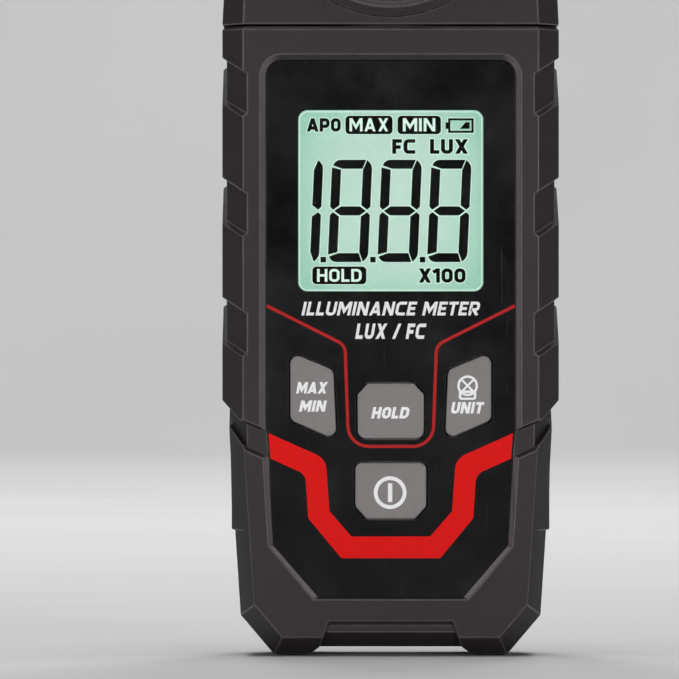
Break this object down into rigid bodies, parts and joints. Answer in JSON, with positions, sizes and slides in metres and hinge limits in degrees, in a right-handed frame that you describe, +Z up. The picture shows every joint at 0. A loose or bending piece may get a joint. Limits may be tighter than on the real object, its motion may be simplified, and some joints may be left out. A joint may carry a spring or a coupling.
{
  "type": "handheld light meter",
  "caption": "Handheld light meter with a dark grip body, backlit display, soft keys and an opal sensor dome on a swivel head.",
  "frame": {"origin": "bottom centre of the bounding box, level with the soles of the two corner feet", "axes": "+X to the right of the display, +Y from the display to the back of the case, +Z up through the sensor head"},
  "size_m": [0.054, 0.034, 0.1479],
  "materials": {
    "case_plastic": "fine spark-eroded texture",
    "rear_plastic": "fine spark-eroded texture",
    "panel_gloss": "smooth printed film",
    "window_clear": "clear",
    "lcd": "backlit pale green",
    "frame_white": "moulded",
    "light_guide": "frosted",
    "black_rubber": "plain",
    "board_green": "solder mask",
    "screw_steel": "zinc plated",
    "chip_black": "moulded",
    "bare_steel": "plain",
    "key_rubber": "soft grey",
    "cell_brass": "printed sleeve",
    "lead_cover": "plain",
    "opal": "opal",
    "filter_glass": "tinted",
    "photodiode": "clear epoxy over silicon"
  },
  "bodies": {
    "body": {"front_case": "case_plastic", "rear_case": "rear_plastic", "front_panel": "panel_gloss", "display_window": "window_clear", "lcd_glass": "lcd", "lcd_frame": "frame_white", "backlight_plate": "light_guide", "backlight_leds": "light_guide", "zebra_strips": "black_rubber", "main_board": "board_green", "board_screws": "screw_steel", "mcu_chip": "chip_black", "board_components": "chip_black", "sensor_socket": "frame_white", "switch_bodies": "bare_steel", "snap_domes": "bare_steel", "battery_cells": "cell_brass", "battery_springs": "bare_steel", "battery_contacts": "bare_steel", "battery_leads": "lead_cover", "case_screws": "screw_steel", "neck_bush": "frame_white", "swivel_washer": "black_rubber", "wave_washer": "bare_steel", "sensor_lead_body": "lead_cover"},
    "head": {"head_front_case": "case_plastic", "head_rear_case": "rear_plastic", "head_screws": "screw_steel", "swivel_spindle": "bare_steel", "spindle_screws": "screw_steel", "spindle_clip": "bare_steel", "sensor_ring": "case_plastic", "diffuser_dome": "opal", "dome_gasket": "black_rubber", "light_filter": "filter_glass", "filter_holder": "chip_black", "photodiode": "photodiode", "sensor_board": "board_green", "sensor_board_screws": "screw_steel", "sensor_lead_head": "lead_cover"},
    "key_max_min_body": {"key_max_min": "key_rubber", "plunger_max_min": "chip_black"},
    "key_hold_body": {"key_hold": "key_rubber", "plunger_hold": "chip_black"},
    "key_unit_body": {"key_unit": "key_rubber", "plunger_unit": "chip_black"},
    "key_power_body": {"key_power": "key_rubber", "plunger_power": "chip_black"},
    "cover": {"battery_cover": "rear_plastic", "cover_pad": "black_rubber", "cover_screw": "screw_steel"}
  },
  "joints": [
    {"name": "head_swivel", "type": "hinge", "parent": "body", "child": "head", "pos_m": [0, 0.003, 0.1009], "axis": [0, 0, 1], "range_deg": [-90, 180]},
    {"name": "max_min_press", "type": "slide", "parent": "body", "child": "key_max_min_body", "axis": [0, 1, 0], "range_m": [0, 0.0006], "stiffness_N_per_m": 1500, "springref_m": -0.0004},
    {"name": "hold_press", "type": "slide", "parent": "body", "child": "key_hold_body", "axis": [0, 1, 0], "range_m": [0, 0.0006], "stiffness_N_per_m": 1500, "springref_m": -0.0004},
    {"name": "unit_press", "type": "slide", "parent": "body", "child": "key_unit_body", "axis": [0, 1, 0], "range_m": [0, 0.0006], "stiffness_N_per_m": 1500, "springref_m": -0.0004},
    {"name": "power_press", "type": "slide", "parent": "body", "child": "key_power_body", "axis": [0, 1, 0], "range_m": [0, 0.0006], "stiffness_N_per_m": 1500, "springref_m": -0.0004},
    {"name": "cover_lift", "type": "slide", "parent": "body", "child": "cover", "axis": [0, 1, 0], "range_m": [0, 0.02]}
  ]
}
